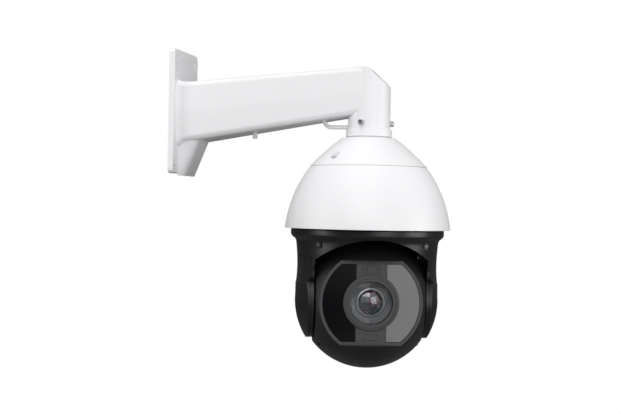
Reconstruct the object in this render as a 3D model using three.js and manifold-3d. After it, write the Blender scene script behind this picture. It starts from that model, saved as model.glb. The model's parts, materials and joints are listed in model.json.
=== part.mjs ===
// PTZ dome camera on a wall bracket. Millimetres, +Z up. The origin is the centre of the wall
// plate's back face, the arm runs out along +X, and the lens looks towards -Y at pan zero.
import * as THREE from 'three';
import { mergeVertices } from 'three/addons/utils/BufferGeometryUtils.js';
import Module from 'manifold-3d';

const wasm = await Module();
wasm.setup();

// Driving sizes
const PAN_X = 292;            // wall to pan axis
const REST_PAN = 17.5;          // degrees the turning part stands round from -Y
const PLATE_W = 100;
const PLATE_H = 185;
const PLATE_T = 8.3;
const ARM_ROOT_HALF = 38;     // half width of the arm at the plate
const COLUMN_R = 30.5;
const COLUMN_TOP = 63.7;
const COLUMN_BOTTOM = -25;
const NECK_FLANGE = 11;
const LOCK_UP = 9;             // lock screws, above the column's mouth
const RIM_R = 120;            // sun shade's lower rim
const RIM_Z = -172;            // rim plane, from which the dome's heights are taken
const COVER_TOP = 134;        // cover's top above the rim
const SEAM = 92.4;            // cover to shade seam above the rim plane
const SHADE_LOW = 2.8;        // shade's lower edge above the rim plane
const BALL_R = 98.8;
const BALL_DROP = 99.6;       // tilt axis below the rim
const BALL_FLAT = 77;         // half width across the ball's flat sides
const FRONT_Y = 66;           // tilt axis to the front frame's face
const FRONT_R = 73.2;
const FRONT_TRIM = 59.5;      // half height of the front frame
const WINDOW_R = 30;          // round window in front of the lens

// Fits
const GAP = 0.3;
const SKIN = 2.6;             // moulded wall
const CAST = 4;               // cast wall
const BALL_CLEAR = 2.4;       // ball to yoke
const TINY = 0.2;             // run past a face when cutting

// Drives
const PAN_PULLEY_R = 32;
const PAN_DRIVE_R = 7;
const PAN_MOTOR_X = -46;
const TILT_PULLEY_R = 24;
const TILT_DRIVE_R = 6;
const TILT_MOTOR_UP = 39;
const BELT_T = 1.2;

const TILT_Z = RIM_Z - BALL_DROP;
const HUB_R = 20;
const HUB_BORE = 12;
const AXLE_R = 10;
const BEARING_R = 15.7;
const ARM_INNER = BALL_FLAT + BALL_CLEAR;
const ARM_SPLIT = ARM_INNER + 4.6;
const ARM_DISC_R = 55.4;
const AXLE_IN = BALL_FLAT - SKIN - 3.2;

const rad = THREE.MathUtils.degToRad;

// Facets round a turned piece
const FINE = 36;
const MID = 22;
const COARSE = 14;
const SMALL = 10;

// Geometry helpers -------------------------------------------------------------------------------

function toManifold(geometry) {
  const bare = new THREE.BufferGeometry();
  const source = geometry.index ? geometry.toNonIndexed() : geometry;
  bare.setAttribute('position', source.getAttribute('position').clone());
  const welded = mergeVertices(bare, 1e-4);
  const mesh = new wasm.Mesh({
    numProp: 3,
    vertProperties: new Float32Array(welded.attributes.position.array),
    triVerts: new Uint32Array(welded.index.array),
  });
  mesh.merge();
  return new wasm.Manifold(mesh);
}

function fromManifold(manifold) {
  const mesh = manifold.getMesh();
  const geometry = new THREE.BufferGeometry();
  geometry.setAttribute('position', new THREE.BufferAttribute(new Float32Array(mesh.vertProperties), 3));
  geometry.setIndex(new THREE.BufferAttribute(new Uint32Array(mesh.triVerts), 1));
  return geometry;
}

const union = (first, ...rest) => fromManifold(rest.reduce((sum, g) => sum.add(toManifold(g)), toManifold(first)));
const cut = (first, ...rest) => fromManifold(rest.reduce((sum, g) => sum.subtract(toManifold(g)), toManifold(first)));
const common = (first, ...rest) => fromManifold(rest.reduce((sum, g) => sum.intersect(toManifold(g)), toManifold(first)));

function box(x0, x1, y0, y1, z0, z1) {
  const geometry = new THREE.BoxGeometry(x1 - x0, y1 - y0, z1 - z0);
  return geometry.translate((x0 + x1) / 2, (y0 + y1) / 2, (z0 + z1) / 2);
}

// A closed outline of (radius, z) turned about Z. The points run anticlockwise.
function lathe(points, segments = MID) {
  const area = points.reduce((sum, p, i) => {
    const q = points[(i + 1) % points.length];
    return sum + p[0] * q[1] - q[0] * p[1];
  }, 0);
  const ordered = area > 0 ? points : [...points].reverse();
  const loop = [...ordered, ordered[0]].map(([r, z]) => new THREE.Vector2(r, z));
  return new THREE.LatheGeometry(loop, segments).rotateX(Math.PI / 2);
}

const ring = (inner, outer, z0, z1, segments = MID) =>
  lathe([[inner, z0], [outer, z0], [outer, z1], [inner, z1]], segments);

function rod(radius, z0, z1, x = 0, y = 0, segments = COARSE) {
  const geometry = new THREE.CylinderGeometry(radius, radius, z1 - z0, segments).rotateX(Math.PI / 2);
  return geometry.translate(x, y, (z0 + z1) / 2);
}

const alongX = (geometry) => geometry.rotateY(Math.PI / 2);
const alongY = (geometry) => geometry.rotateX(Math.PI / 2);

function ball(radius, segments = MID) {
  return new THREE.SphereGeometry(radius, segments, segments / 2).rotateX(Math.PI / 2);
}

function outline(points) {
  return new THREE.Shape(points.map(([x, y]) => new THREE.Vector2(x, y)));
}

function extrude(shape, depth, segments = 12) {
  return new THREE.ExtrudeGeometry(shape, { depth, bevelEnabled: false, curveSegments: segments });
}

function roundedRect(width, height, radius) {
  const x = width / 2 - radius;
  const y = height / 2 - radius;
  const shape = new THREE.Shape();
  shape.absarc(x, y, radius, 0, Math.PI / 2);
  shape.absarc(-x, y, radius, Math.PI / 2, Math.PI);
  shape.absarc(-x, -y, radius, Math.PI, 1.5 * Math.PI);
  shape.absarc(x, -y, radius, 1.5 * Math.PI, 2 * Math.PI);
  return shape;
}

// The outline is (y, z) and the extrusion runs from x0 to x1.
const prismX = (shape, x0, x1, segments = 12) =>
  extrude(shape, x1 - x0, segments).rotateY(Math.PI / 2).rotateX(Math.PI / 2).translate(x0, 0, 0);

// The outline is (x, z) and the extrusion runs from y0 to y1.
const prismY = (shape, y0, y1, segments = 12) =>
  extrude(shape, y1 - y0, segments).rotateX(Math.PI / 2).translate(0, y1, 0);

// A belt's closed run round two pulleys, the second at -distance along X.
function beltLoop(bigR, smallR, distance, height, z0) {
  const run = (extra) => {
    const lean = Math.acos((bigR - smallR) / distance);
    const shape = new THREE.Shape();
    shape.absarc(0, 0, bigR + extra, lean - Math.PI, Math.PI - lean);
    shape.absarc(-distance, 0, smallR + extra, Math.PI - lean, Math.PI + lean);
    return shape;
  };
  const outer = extrude(run(GAP + BELT_T), height, COARSE).translate(0, 0, z0);
  const inner = extrude(run(GAP), height + 2 * TINY, COARSE).translate(0, 0, z0 - TINY);
  return cut(outer, inner);
}

const round = (angle, radius) => [radius * Math.cos(rad(angle)), radius * Math.sin(rad(angle))];
const LOCK_ANGLES = [-100, 20, 140];
const COVER_SCREW_ANGLES = [-120, 0, 120];
const KEYHOLE_Y = 37;
const LOW_SLOT_Y = PLATE_W / 2 - 6.5;
const CHIN_HALF = 30;
const RIB_LOW = -5;            // rib across the plate's opening
const RIB_HIGH = 9;
const COVER_SCREW_R = 71;
const COVER_SCREW_SEAT = 101.5;   // pocket floor above the rim plane
const PLUG_X = 119;
const EYE_X = PAN_X - 69;      // where the safety eye leaves the arm

// Wall bracket -----------------------------------------------------------------------------------

// The arm as a taper from the plate to the column, drawn in by `inset` on every side.
// Height of the arm's underside at a distance from the wall.
const armLow = (x) => THREE.MathUtils.lerp(-47, -1.5, (x - PLATE_T) / (PAN_X - PLATE_T));

function armTaper(inset, x0, x1) {
  const bevel = Math.max(8 - inset, 1);
  const shape = outline([
    [-1, -1 + bevel / 40], [-1 + bevel / 40, -1], [1 - bevel / 40, -1], [1, -1 + bevel / 40],
    [1, 0.85], [0.88, 1], [-0.88, 1], [-1, 0.85],
  ]);
  const geometry = prismX(shape, x0, x1);
  const spot = geometry.getAttribute('position');
  for (let i = 0; i < spot.count; i += 1) {
    const t = (spot.getX(i) - PLATE_T) / (PAN_X - PLATE_T);
    const half = THREE.MathUtils.lerp(ARM_ROOT_HALF, COLUMN_R, t) - inset;
    const low = armLow(spot.getX(i)) + inset;
    const high = THREE.MathUtils.lerp(43, COLUMN_TOP, t) - inset;
    spot.setXYZ(i, spot.getX(i), spot.getY(i) * half, (low + high) / 2 + spot.getZ(i) * (high - low) / 2);
  }
  return geometry;
}

// The cable chin under the arm's root, drawn in by `inset`: a side outline with round outer corners.
function chin(inset, bottom) {
  const root = PLATE_T - TINY - inset * 3;
  const side = outline([[root, bottom], [17 - inset, bottom], [36 - inset, -48], [40 - inset, -38 + inset],
    [root, -38 + inset]]);
  const half = CHIN_HALF - inset;
  const body = extrude(side, 2 * half).rotateX(Math.PI / 2).translate(0, half, 0);
  const lean = new THREE.Matrix4().makeShear(0, 0, 0, 0, 0, 0);
  lean.elements[8] = 19 / 47.5;
  const corner = 13 - inset;
  const plan = new THREE.Shape();
  plan.moveTo(-60, -half);
  plan.lineTo(17 - inset - corner, -half);
  plan.absarc(17 - inset - corner, -half + corner, corner, -Math.PI / 2, 0);
  plan.absarc(17 - inset - corner, half - corner, corner, 0, Math.PI / 2);
  plan.lineTo(-60, half);
  const column = extrude(plan, 80, 5).translate(0, 0, -10).applyMatrix4(lean).translate(0, 0, -95.5);
  return common(body, column);
}

function keyhole(y, top) {
  const head = alongX(rod(4.6, -TINY, PLATE_T + TINY, 0, 0)).translate(0, y, top - 5);
  return union(head, box(-TINY, PLATE_T + TINY, y - 2.4, y + 2.4, top - 25, top - 5));
}

function cableEye() {
  const path = new THREE.CatmullRomCurve3([
    new THREE.Vector3(EYE_X, 0, -10),
    new THREE.Vector3(EYE_X + 5, 0, -19),
    new THREE.Vector3(EYE_X + 13, 0, -21.5),
    new THREE.Vector3(PAN_X - COLUMN_R + 3, 0, -21.5),
  ]);
  const shape = new THREE.Shape();
  shape.absarc(0, 0, 3, 0, 2 * Math.PI);
  return new THREE.ExtrudeGeometry(shape, { steps: 10, curveSegments: 8, extrudePath: path, bevelEnabled: false });
}

function wallBracket() {
  const plate = prismX(roundedRect(PLATE_W, PLATE_H, 7), 0, PLATE_T);
  const column = rod(COLUMN_R, COLUMN_BOTTOM, COLUMN_TOP, PAN_X, 0, MID);
  const topCut = prismY(outline([[PAN_X + 1, COLUMN_TOP], [PAN_X + 60, COLUMN_TOP - 55], [PAN_X + 60, 90],
    [PAN_X + 1, 90]]), -60, 60);
  const solid = union(plate, armTaper(0, PLATE_T - TINY, PAN_X), chin(0, -95.5), column, cableEye());
  const shaped = cut(solid, topCut);
  const holes = [
    cut(armTaper(CAST, -TINY, PAN_X - 12), box(-1, PLATE_T, -PLATE_W, PLATE_W, RIB_LOW, RIB_HIGH)),
    chin(CAST, -96),
    rod(22.4, COLUMN_BOTTOM - TINY, 34, PAN_X, 0, COARSE),
    rod(2.6, -60, -5, PLUG_X, 0, SMALL),
    keyhole(-KEYHOLE_Y, PLATE_H / 2 - 8),
    keyhole(KEYHOLE_Y, PLATE_H / 2 - 8),
  ];
  for (const y of [-LOW_SLOT_Y, LOW_SLOT_Y]) {
    holes.push(box(-TINY, PLATE_T + TINY, y - 3.2, y + 3.2, -PLATE_H / 2 + 7, -PLATE_H / 2 + 12));
  }
  for (const angle of LOCK_ANGLES) {
    holes.push(alongX(rod(2.6, 18, 40, 0, 0, SMALL)).rotateZ(rad(angle)).translate(PAN_X, 0, COLUMN_BOTTOM + LOCK_UP));
  }
  return cut(shaped, ...holes);
}

// Cap screw: head radius, head height, shank radius, shank length; head up, seat at z = 0.
const capScrew = (headR, headH, shankR, shankL) => lathe([
  [0, -shankL], [shankR, -shankL], [shankR, 0], [headR, 0], [headR, headH - 0.5], [headR - 0.5, headH], [0, headH],
], COARSE);

// Fixed dome -------------------------------------------------------------------------------------

const coverOutline = [[38.5, COVER_TOP], [45.2, 130.4], [64.4, 112.8], [84.7, SEAM + GAP / 2]];

function topCover() {
  const [top, a, b, low] = coverOutline;
  const outside = lathe([[0, low[1]], low, b, a, top, [0, COVER_TOP]], FINE);
  const inside = lathe([
    [0, low[1] - 1], [low[0] - 3.4, low[1] - 1], [low[0] - 3.6, low[1]], [b[0] - 1.9, b[1] - 1.9],
    [a[0] - 1.5, a[1] - 2.4], [top[0] - 1, COVER_TOP - SKIN], [0, COVER_TOP - SKIN],
  ], FINE);
  let shell = cut(outside, inside);
  for (const angle of COVER_SCREW_ANGLES) {
    const [x, y] = round(angle, COVER_SCREW_R);
    shell = union(shell, common(rod(8.2, COVER_SCREW_SEAT - 3, 122, x, y), outside));
    shell = cut(shell, rod(6, COVER_SCREW_SEAT, 140, x, y), rod(1.9, 94, 106, x, y, SMALL));
  }
  return cut(shell, rod(24.6, COVER_TOP - 10, COVER_TOP + 5, 0, 0, MID)).translate(0, 0, RIM_Z);
}

function sunShade() {
  const wall = [[84.8, SEAM - GAP / 2], [90.8, 84], [97.4, 72.5], [103, 61], [108.3, 49], [112.7, 37.7],
    [116, 26], [118.2, 14.5], [RIM_R, SHADE_LOW]];
  const inner = wall.map(([r, z], i) => [r - (i === 0 ? 3.4 : SKIN), i > 0 && i < 8 ? z - 1 : z]);
  return lathe([...wall.reverse(), ...inner], FINE).translate(0, 0, RIM_Z);
}

function neckAdapter() {
  const low = COLUMN_BOTTOM - GAP;
  const under = low - NECK_FLANGE;
  return lathe([[15, 2], [15, -78], [34, -78], [34, -75], [24, -75], [24, under], [33.5, under], [33.5, low],
    [21, low], [21, 2]], MID);
}

const POST_R = 66;

function chassisPlate() {
  const posts = [45, 135, 225, 315].map((angle) => rod(4, RIM_Z + 26 + GAP, -80, ...round(angle, POST_R), SMALL));
  return union(ring(18, 74, -82.3, -78.3), ...posts);
}

function basePlate() {
  const low = RIM_Z + 22;
  return lathe([[PAN_PULLEY_R + GAP, low - 4], [38, low - 4], [38, low], [108, low], [108, low + 4], [38, low + 4],
    [38, low + 7], [PAN_PULLEY_R + GAP, low + 7]], FINE);
}

function powerBoard() {
  const parts = [ring(36, 58, -77.4, -75.8, MID)];
  const blocks = [[30, 47, 10, 11], [95, 46, 7, 8], [165, 47, 9, 9], [250, 47, 8, 12]];
  for (const [angle, radius, half, tall] of blocks) {
    const [x, y] = round(angle, radius);
    parts.push(box(x - half, x + half, y - half * 0.8, y + half * 0.8, -76, -76 + tall));
  }
  return union(...parts);
}

function mainBoard() {
  const chips = [[-22, 34, 8, 3], [2, 36, 10, 2.4], [25, 32, 6, 5], [-6, 26, 4, 2]];
  const parts = [box(-38, 38, 22, 50, -92, -90.4)];
  for (const [x, y, half, tall] of chips) {
    parts.push(box(x - half, x + half, y - half / 2, y + half / 2, -92 - tall, -91.5));
  }
  return union(...parts);
}

const FAN_Y = -38;

function fanHousing() {
  const frame = cut(box(-20, 20, -20, 20, -93, -82.6), rod(18.4, -94, -82, 0, 0, COARSE));
  const bars = [box(-19, 19, -1.6, 1.6, -93, -91.6), box(-1.6, 1.6, -19, 19, -93, -91.6)];
  return union(frame, ...bars).translate(0, FAN_Y, 0);
}

function fanRotor() {
  const parts = [rod(7, -91.3, -83.6, 0, 0, COARSE)];
  for (let i = 0; i < 7; i += 1) {
    const blade = box(6, 17.6, -0.6, 0.6, -3.2, 3.2).rotateX(rad(28)).translate(0, 0, -87.4);
    parts.push(blade.rotateZ(rad((i * 360) / 7)));
  }
  return union(...parts).translate(0, FAN_Y, 0);
}

function panMotor() {
  return lathe([[0, -124], [2.4, -124], [2.4, -111], [6, -111], [6, -109], [17, -109], [17, -82.6], [0, -82.6]], COARSE)
    .translate(PAN_MOTOR_X, 0, 0);
}

const pulley = (bore, radius, z0, z1) => lathe([
  [bore, z0], [radius + 2, z0], [radius + 2, z0 + 0.6], [radius, z0 + 0.6], [radius, z1 - 0.6],
  [radius + 2, z1 - 0.6], [radius + 2, z1], [bore, z1],
], MID);

// Turning part -----------------------------------------------------------------------------------

const turntable = () => lathe([[HUB_BORE, RIM_Z + 3], [108, RIM_Z + 3], [108, RIM_Z + 7], [HUB_R + 4, RIM_Z + 7],
  [HUB_R, RIM_Z + 11], [HUB_R, -111], [HUB_BORE, -111]], FINE);

const YOKE_OUTLINE = [[108, 2.7], [111, 0], [111, -5], [108.7, -9], [104.3, -13], [103, -17], [101.6, -30],
  [100.6, -45], [100.6, -58], [102.6, -75], [103.6, -92]];
const YOKE_BALL_R = 103.6;

// The yoke's whole body, in the frame of the rim, drawn in by `inset`.
function yokeSolid(inset) {
  const points = YOKE_OUTLINE.map(([r, z]) => [r - inset, z]);
  for (let angle = 0; angle >= -33; angle -= 5.5) {
    const r = YOKE_BALL_R - inset;
    points.push([r * Math.cos(rad(angle)), -BALL_DROP + YOKE_BALL_R * Math.sin(rad(angle))]);
  }
  const body = lathe([...points, [0, points[points.length - 1][1]], [0, YOKE_OUTLINE[0][1]]], FINE);
  const i = inset;
  const neck = outline([[112, 3], [112, -14], [100 - i, -22], [79 - i, -36], [64 - i, -44], [57 - i, -56],
    [56 - i, -66], [46 - i, -71], [40 - i, -80], [-40 + i, -80], [-46 + i, -71], [-56 + i, -66], [-57 + i, -56],
    [-64 + i, -44], [-79 + i, -36], [-100 + i, -22], [-112, -14], [-112, 3]]);
  const side = union(prismX(neck, -115, 115),
    alongX(rod(ARM_DISC_R - i, -115, 115, 0, 0, MID)).translate(0, 0, -BALL_DROP));
  return common(body, side);
}

function yokeFrame() {
  const cavity = common(ball(BALL_R + BALL_CLEAR), box(-ARM_INNER, ARM_INNER, -120, 120, -120, 120));
  cavity.translate(0, 0, -BALL_DROP);
  const arch = common(rod(124, -120, 120, 0, 0, FINE).rotateX(Math.PI / 2),
    box(-ARM_INNER, ARM_INNER, -120, 120, -130, 130)).translate(0, 0, -135);
  const holes = alongX(rod(BEARING_R + GAP, -110, 110, 0, 0, COARSE)).translate(0, 0, -BALL_DROP);
  const covers = [-1, 1].map((side) => {
    const near = side < 0 ? -120 : ARM_SPLIT;
    return box(near, near + 120 - ARM_SPLIT, -90, 90, -170, -36);
  });
  const crown = rod(96, -BALL_DROP, 3, 0, 0, FINE);
  const top = common(crown, ball(BALL_R + BALL_CLEAR + 1).translate(0, 0, -BALL_DROP), box(-98, 98, -98, 98, -30, 3));
  return cut(yokeSolid(0), cavity, arch, holes, ...covers, common(top, box(-81, 81, -98, 98, -30, 3)))
    .translate(0, 0, RIM_Z);
}

function sideCover(side) {
  const near = ARM_SPLIT + GAP;
  const room = side < 0 ? box(-120, -near, -90, 90, -170, -36 - GAP) : box(near, 120, -90, 90, -170, -36 - GAP);
  const hollow = common(yokeSolid(2.4), box(-120, 120, -90, 90, -170, -36 - GAP - 2.4));
  return cut(common(yokeSolid(0), room), hollow).translate(0, 0, RIM_Z);
}

const tiltBearing = () => alongX(ring(AXLE_R + GAP, BEARING_R, ARM_INNER + GAP, ARM_SPLIT - GAP, COARSE));
const PULLEY_X0 = ARM_SPLIT + 0.6;
const PULLEY_X1 = PULLEY_X0 + 4;

function tiltMotor() {
  return lathe([[0, PULLEY_X0], [1.5, PULLEY_X0], [1.5, PULLEY_X1 + 0.4], [13, PULLEY_X1 + 0.4],
    [13, PULLEY_X1 + 5.6], [0, PULLEY_X1 + 5.6]], COARSE);
}

// Turns a piece made about Z, outwards along +Z, to lie outwards along -X.
const toLeft = (geometry) => geometry.rotateY(-Math.PI / 2);
const toRight = (geometry) => geometry.rotateY(Math.PI / 2);

// Ball head, about the tilt axis -----------------------------------------------------------------

function frontPatch(radius, trim, y0, y1) {
  const disc = rod(radius, -y1, -y0, 0, 0, FINE).rotateX(Math.PI / 2);
  return common(disc, box(-120, 120, y0 - 1, y1 + 1, -trim, trim));
}

function headShell() {
  const cube = (half) => box(-half, half, -120, 120, -120, 120);
  const outer = cut(common(ball(BALL_R, FINE), cube(BALL_FLAT)), frontPatch(FRONT_R, FRONT_TRIM, -120, -FRONT_Y + 4));
  const inner = cut(common(ball(BALL_R - SKIN, MID), cube(BALL_FLAT - SKIN)),
    frontPatch(FRONT_R + SKIN, FRONT_TRIM + SKIN, -120, -FRONT_Y + 6.6));
  const axle = alongX(rod(AXLE_R + GAP, -100, 100, 0, 0, COARSE));
  const lensHole = rod(WINDOW_R + 1, 0, 90, 0, 0, MID).rotateX(Math.PI / 2).translate(0, 0, 0);
  const lights = [-1, 1].map((side) => windowPatch(side, 6, -80, -40));
  return cut(outer, inner, axle, lensHole, ...lights);
}

const BOSS_R = 39.2;
const WEB_HALF = 21.2;

function windowPatch(side, inset, y0, y1) {
  const patch = frontPatch(FRONT_R - 4.7 - inset, FRONT_TRIM - 5 - inset, y0, y1);
  const half = side < 0 ? box(-100, -WEB_HALF - inset, -120, 0, -100, 100) : box(WEB_HALF + inset, 100, -120, 0, -100, 100);
  const boss = rod(BOSS_R + inset, 0, 120, 0, 0, MID).rotateX(Math.PI / 2);
  return cut(common(patch, half), boss);
}

const pill = (width, height, z, y0, y1) => prismY(roundedRect(width, height, height / 2 - 0.05), y0, y1, 6).translate(0, 0, z);
const PILL_Z = 46.8;
const BADGE_Z = -48;

function frontFrame() {
  const face = -FRONT_Y;
  const plate = frontPatch(FRONT_R - GAP, FRONT_TRIM - GAP, face, face + 3.7);
  const boss = rod(BOSS_R, -face - 3.7, -face + 2.6, 0, 0, FINE).rotateX(Math.PI / 2);
  const hole = rod(WINDOW_R + GAP, 50, 90, 0, 0, MID).rotateX(Math.PI / 2);
  const groove = ring(34.4, 35.6, -face + 1.6, -face + 4, MID).rotateX(Math.PI / 2);
  return cut(union(plate, boss), hole, groove, windowPatch(-1, 0, -90, -40), windowPatch(1, 0, -90, -40),
    pill(26, 11, PILL_Z, face - 3, face + 1.6),
    prismY(roundedRect(21, 9, 1.5), face - 3, face + 1.2, 4).translate(0, 0, BADGE_Z));
}

function sensorInsert() {
  const face = -FRONT_Y;
  const holes = [-7.8, 7.8].map((x) => alongY(rod(2.2, -2, 2, 0, 0, SMALL)).translate(x, face + 0.6, PILL_Z));
  return cut(pill(26 - 2 * GAP, 11 - 2 * GAP, PILL_Z, face + 0.2, face + 1.3), ...holes);
}

const badgePlate = () => prismY(roundedRect(21 - 2 * GAP, 9 - 2 * GAP, 1.3), -FRONT_Y + 0.1, -FRONT_Y + 0.9, 4)
  .translate(0, 0, BADGE_Z);

const toFront = (geometry) => geometry.rotateX(Math.PI / 2);   // outwards along +Z to outwards along -Y

function irBoard(side) {
  const parts = [box(26, 58, -59.1, -57.5, -42, 42)];
  for (const [x, z] of [[47, 26], [53, 8.5], [53, -8.5], [47, -26]]) {
    parts.push(toFront(rod(4.5, 58, 61.6, 0, 0, SMALL)).translate(x, 0, z));
  }
  const board = union(...parts);
  return side < 0 ? board.rotateY(Math.PI).rotateZ(Math.PI) : board;
}

const BLOCK_FRONT = -18;
const BLOCK_BACK = 48;
const OPTIC_BORE = 16;

function cameraBlock() {
  const body = box(-25, 25, BLOCK_FRONT, BLOCK_BACK, -27, 27);
  const bore = rod(OPTIC_BORE, -60, 60, 0, 0, COARSE).rotateX(Math.PI / 2);
  return cut(body, bore, box(-9, 23.5, 11.5, 14, -8.9, 8.9));
}

const lensBarrel = () => toFront(lathe([[17.2, 18.4], [24, 18.4], [24, 50], [22, 53], [22, 58], [20, 59.5],
  [18.6, 59.5], [17.2, 56]], MID));
const frontLens = () => toFront(lathe([[0, 48], [16.8, 48], [16.8, 52], [12, 55], [6, 56.4], [0, 57]], COARSE));
const lensGroup = (radius, z0, z1) => toFront(lathe([[0, z0 + 1.5], [radius - 3, z0], [radius, z0], [radius, z1],
  [radius - 3, z1], [0, z1 - 1.5]], COARSE));
const lensWindow = () => toFront(rod(WINDOW_R, FRONT_Y - 1.5, FRONT_Y + 1, 0, 0, MID));
const irCutFilter = () => box(-8, 8, 12, 13.4, -8, 8);
const sensorBoard = () => union(box(-23, 23, BLOCK_BACK + GAP, BLOCK_BACK + 2, -23, 23),
  box(-6, 6, BLOCK_BACK - 2, BLOCK_BACK + 1, -6, 6));

function cradle() {
  const half = AXLE_IN - 0.6;
  const wall = 2.6;
  return union(box(-half, half, -14, 40, -31, -28), box(-half, wall - half, -14, 40, -31, 20),
    box(half - wall, half, -14, 40, -31, 20));
}

const axle = (tip) => lathe([[6, AXLE_IN], [18, AXLE_IN], [18, AXLE_IN + 2.8], [AXLE_R, AXLE_IN + 2.8],
  [AXLE_R, tip], [6, tip]], COARSE);

function axleWithPulley() {
  return lathe([[6, AXLE_IN], [18, AXLE_IN], [18, AXLE_IN + 2.8], [AXLE_R, AXLE_IN + 2.8], [AXLE_R, PULLEY_X0],
    [TILT_PULLEY_R, PULLEY_X0],
    [TILT_PULLEY_R, PULLEY_X1], [6, PULLEY_X1]], MID);
}

// Assembly ---------------------------------------------------------------------------------------

const WHITE = 0xf0f0f3;
const BLACK = 0x1f1f21;
const FRAME_GREY = 0x48484a;
const STEEL = 0xb8bcc0;
const BOARD = 0x1f5a36;
const RUBBER = 0x151515;

function put(group, name, geometry, colour, rough = 0.5, metal = 0) {
  const material = new THREE.MeshStandardMaterial({ color: colour, roughness: rough, metalness: metal });
  const mesh = new THREE.Mesh(geometry, material);
  mesh.name = name;
  group.add(mesh);
  return mesh;
}

function addBracket(root) {
  put(root, 'wall_bracket', wallBracket(), WHITE, 0.45);
  const plug = put(root, 'arm_plug_screw', capScrew(3.7, 8, 2.2, 6), STEEL, 0.3, 1);
  plug.rotation.y = Math.PI;
  plug.position.set(PLUG_X, 0, armLow(PLUG_X - 4) - 2 * GAP);
  LOCK_ANGLES.forEach((angle, i) => {
    const [x, y] = round(angle, COLUMN_R + GAP);
    const screw = put(root, `lock_screw_${i + 1}`, capScrew(4, 5.4, 2.3, 7.5).rotateY(Math.PI / 2), STEEL, 0.3, 1);
    screw.rotation.z = rad(angle);
    screw.position.set(PAN_X + x, y, COLUMN_BOTTOM + LOCK_UP);
  });
}

function addDome(dome) {
  put(dome, 'neck_adapter', neckAdapter(), WHITE, 0.45);
  put(dome, 'neck_gasket', ring(24.4, 33, RIM_Z + COVER_TOP + GAP, COLUMN_BOTTOM - 2 * GAP - NECK_FLANGE), RUBBER, 0.8);
  put(dome, 'top_cover', topCover(), WHITE, 0.45);
  put(dome, 'sun_shade', sunShade(), WHITE, 0.45);
  COVER_SCREW_ANGLES.forEach((angle, i) => {
    const screw = put(dome, `cover_screw_${i + 1}`, capScrew(3.4, 2.8, 1.6, 7), STEEL, 0.3, 1);
    screw.position.set(...round(angle, COVER_SCREW_R), RIM_Z + COVER_SCREW_SEAT + GAP);
  });
  put(dome, 'chassis_plate', chassisPlate(), STEEL, 0.4, 1);
  put(dome, 'base_plate', basePlate(), BLACK);
  put(dome, 'power_board', powerBoard(), BOARD);
  put(dome, 'main_board', mainBoard(), BOARD);
  put(dome, 'fan_housing', fanHousing(), BLACK);
  put(dome, 'fan_rotor', fanRotor(), BLACK);
  put(dome, 'pan_motor', panMotor(), STEEL, 0.4, 1);
  put(dome, 'pan_drive_pulley', pulley(2.4 + GAP, PAN_DRIVE_R, -123.6, -113), STEEL, 0.4, 1)
    .position.set(PAN_MOTOR_X, 0, 0);
  put(dome, 'pan_belt', beltLoop(PAN_PULLEY_R, PAN_DRIVE_R, -PAN_MOTOR_X, 7.6, -122), RUBBER, 0.8);
  put(dome, 'slip_ring_stator', lathe([[0, -160], [6.6, -160], [6.6, -97], [14.6, -97], [14.6, -82.6], [0, -82.6]], COARSE),
    BLACK);
  put(dome, 'pan_bearing_outer', ring(27.4, PAN_PULLEY_R, RIM_Z + 18, RIM_Z + 29), STEEL, 0.3, 1);
}

function addTurning(turn) {
  put(turn, 'turntable', turntable(), BLACK);
  put(turn, 'pan_pulley', pulley(HUB_R + GAP, PAN_PULLEY_R, -123.6, -113), STEEL, 0.4, 1);
  put(turn, 'pan_bearing_inner', ring(HUB_R + GAP, 25.4, RIM_Z + 18, RIM_Z + 29), STEEL, 0.3, 1);
  put(turn, 'slip_ring_rotor', ring(6.6 + GAP, HUB_BORE - GAP, -165, -98.5, COARSE), STEEL, 0.4, 1);
  put(turn, 'yoke_frame', yokeFrame(), BLACK, 0.4);
  put(turn, 'side_cover_left', sideCover(-1), BLACK, 0.4);
  put(turn, 'side_cover_right', sideCover(1), BLACK, 0.4);
  const motor = put(turn, 'tilt_motor', toLeft(tiltMotor()), STEEL, 0.4, 1);
  motor.position.z = TILT_Z + TILT_MOTOR_UP;
  const drive = put(turn, 'tilt_drive_pulley', toLeft(ring(1.8, TILT_DRIVE_R, PULLEY_X0, PULLEY_X1, COARSE)), STEEL, 0.4, 1);
  drive.position.z = TILT_Z + TILT_MOTOR_UP;
  const belt = beltLoop(TILT_PULLEY_R, TILT_DRIVE_R, TILT_MOTOR_UP, 3.2, PULLEY_X0 + 0.4);
  put(turn, 'tilt_belt', toLeft(belt.rotateZ(Math.PI)), RUBBER, 0.8).position.z = TILT_Z;
  put(turn, 'tilt_bearing_left', tiltBearing().rotateZ(Math.PI), STEEL, 0.3, 1).position.z = TILT_Z;
  put(turn, 'tilt_bearing_right', tiltBearing(), STEEL, 0.3, 1).position.z = TILT_Z;
  const encoder = cut(box(ARM_SPLIT + 3, ARM_SPLIT + 4.6, -16, 16, -12, 20), alongX(rod(8, 80, 100)));
  put(turn, 'tilt_encoder', encoder, BOARD).position.z = TILT_Z;
}

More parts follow.
